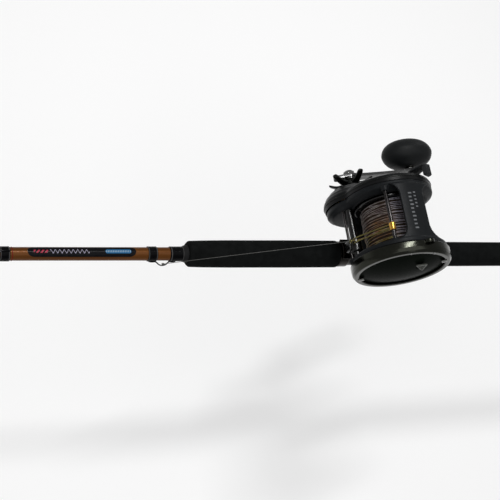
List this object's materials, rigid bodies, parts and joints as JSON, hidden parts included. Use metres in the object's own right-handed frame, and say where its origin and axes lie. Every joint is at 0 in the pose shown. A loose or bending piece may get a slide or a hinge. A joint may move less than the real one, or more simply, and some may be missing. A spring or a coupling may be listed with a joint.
{
  "type": "boat fishing rod with level-wind reel",
  "caption": "Short boat rod with foam grips, ringed tip and a level-wind multiplier reel with star drag, crank handle and oval knob.",
  "frame": {"origin": "centre of the flat end face of the butt cap", "axes": "-X along the rod toward the tip, +X out of the butt, +Y toward the handle side of the reel, +Z from the rod toward the reel and the guides"},
  "size_m": [1.6786, 0.1496, 0.1298],
  "materials": {
    "blank_gloss": "gloss",
    "grip_foam": "matte closed-cell foam",
    "rubber_black": "matte",
    "side_plastic": "satin",
    "frame_graphite": "satin",
    "ring_gunmetal": "satin anodised",
    "steel_bright": "polished",
    "metal_dark": "gloss",
    "brass": "polished",
    "thread_black": "gloss",
    "guide_black": "gloss",
    "ceramic_grey": "gloss",
    "drag_fibre": "woven",
    "gear_nylon": "matte",
    "line_nylon": "satin"
  },
  "bodies": {
    "rod": {"blank": "blank_gloss", "foregrip": "grip_foam", "rear_grip": "grip_foam", "butt_cap": "rubber_black", "seat_tube": "metal_dark", "front_hood": "metal_dark", "front_wrap": "thread_black", "keeper_wrap": "thread_black", "hook_keeper": "steel_bright", "reel_foot": "steel_bright", "frame": "frame_graphite", "left_ring": "ring_gunmetal", "left_plate": "side_plastic", "bridge_plate": "steel_bright", "right_plate": "frame_graphite", "guide_bar": "steel_bright", "front_pillar": "steel_bright", "worm_tube": "steel_bright", "bearing_left": "steel_bright", "bearing_right": "steel_bright", "fishing_line": "line_nylon", "tip_top": "guide_black", "tip_ring": "ceramic_grey", "guide_1": "guide_black", "guide_2": "guide_black", "guide_3": "guide_black", "guide_4": "guide_black", "guide_ring_1": "ceramic_grey", "guide_ring_2": "ceramic_grey", "guide_ring_3": "ceramic_grey", "guide_ring_4": "ceramic_grey"},
    "rear_hood": {"rear_hood": "metal_dark"},
    "lock_nut": {"lock_nut": "metal_dark"},
    "spool": {"spool": "ring_gunmetal", "line_pack": "line_nylon", "spool_shaft": "steel_bright", "clicker_gear": "brass"},
    "pinion": {"pinion": "brass"},
    "yoke": {"pinion_yoke": "gear_nylon"},
    "crank": {"drive_shaft": "steel_bright", "levelwind_gear": "gear_nylon", "ratchet": "steel_bright", "main_gear": "brass", "drag_washer": "drag_fibre", "spring_washer": "steel_bright", "handle_arm": "steel_bright", "handle_nut": "steel_bright", "knob_spindle": "steel_bright"},
    "knob": {"knob": "rubber_black"},
    "star": {"star_drag": "metal_dark"},
    "lever": {"freespool_lever": "side_plastic", "lever_cam": "steel_bright"},
    "dog": {"dog": "steel_bright"},
    "worm": {"worm_shaft": "steel_bright", "worm_gear": "gear_nylon"},
    "carriage": {"carriage": "frame_graphite", "guide_sleeve": "brass", "pawl_cap": "steel_bright"},
    "clicker": {"clicker_button": "side_plastic"},
    "tension": {"tension_cap": "metal_dark"}
  },
  "joints": [
    {"name": "handle_crank", "type": "hinge", "parent": "rod", "child": "crank", "pos_m": [-0.396, 0.06, 0.042], "axis": [0, 1, 0], "continuous": true},
    {"name": "knob_spin", "type": "hinge", "parent": "crank", "child": "knob", "pos_m": [-0.32919, 0.088, 0.05091], "axis": [0, 1, 0], "continuous": true},
    {"name": "star_turn", "type": "hinge", "parent": "crank", "child": "star", "pos_m": [-0.396, 0.058, 0.042], "axis": [0, 1, 0], "range_deg": [-360, 180]},
    {"name": "spool_spin", "type": "hinge", "parent": "rod", "child": "spool", "pos_m": [-0.372, 0, 0.0625], "axis": [0, 1, 0], "continuous": true},
    {"name": "worm_spin", "type": "hinge", "parent": "rod", "child": "worm", "pos_m": [-0.4102, 0, 0.0508], "axis": [0, 1, 0], "continuous": true},
    {"name": "lever_turn", "type": "hinge", "parent": "rod", "child": "lever", "pos_m": [-0.352, 0.045, 0.0765], "axis": [0, 1, 0], "range_deg": [0, 20]},
    {"name": "pinion_slide", "type": "slide", "parent": "spool", "child": "pinion", "axis": [0, 1, 0], "range_m": [0, 0.0022]},
    {"name": "yoke_slide", "type": "slide", "parent": "rod", "child": "yoke", "axis": [0, 1, 0], "range_m": [0, 0.0022]},
    {"name": "dog_turn", "type": "hinge", "parent": "rod", "child": "dog", "pos_m": [-0.3826, 0.035, 0.0265], "axis": [0, 1, 0], "range_deg": [-12, 0], "stiffness_Nm_per_rad": 0.002, "springref_deg": 5.73},
    {"name": "carriage_slide", "type": "slide", "parent": "rod", "child": "carriage", "axis": [0, 1, 0], "range_m": [-0.006, 0.03]},
    {"name": "clicker_slide", "type": "slide", "parent": "rod", "child": "clicker", "axis": [-0.5, 0, -0.866], "range_m": [0, 0.004]},
    {"name": "tension_turn", "type": "hinge", "parent": "rod", "child": "tension", "pos_m": [-0.372, 0.05, 0.0625], "axis": [0, 1, 0], "range_deg": [-360, 90]},
    {"name": "hood_slide", "type": "slide", "parent": "rod", "child": "rear_hood", "axis": [1, 0, 0], "range_m": [0, 0.0045]},
    {"name": "lock_nut_turn", "type": "hinge", "parent": "rear_hood", "child": "lock_nut", "pos_m": [-0.319, 0, 0], "axis": [1, 0, 0], "range_deg": [0, 1080]}
  ],
  "couplings": [
    {"joint": "spool_spin", "follows": "handle_crank", "ratio": -4},
    {"joint": "worm_spin", "follows": "handle_crank", "ratio": -1.5},
    {"joint": "pinion_slide", "follows": "lever_turn", "m_per_rad": 0.0063024},
    {"joint": "yoke_slide", "follows": "lever_turn", "m_per_rad": 0.0063024},
    {"joint": "lock_nut_turn", "follows": "hood_slide", "rad_per_m": 4188.8}
  ]
}
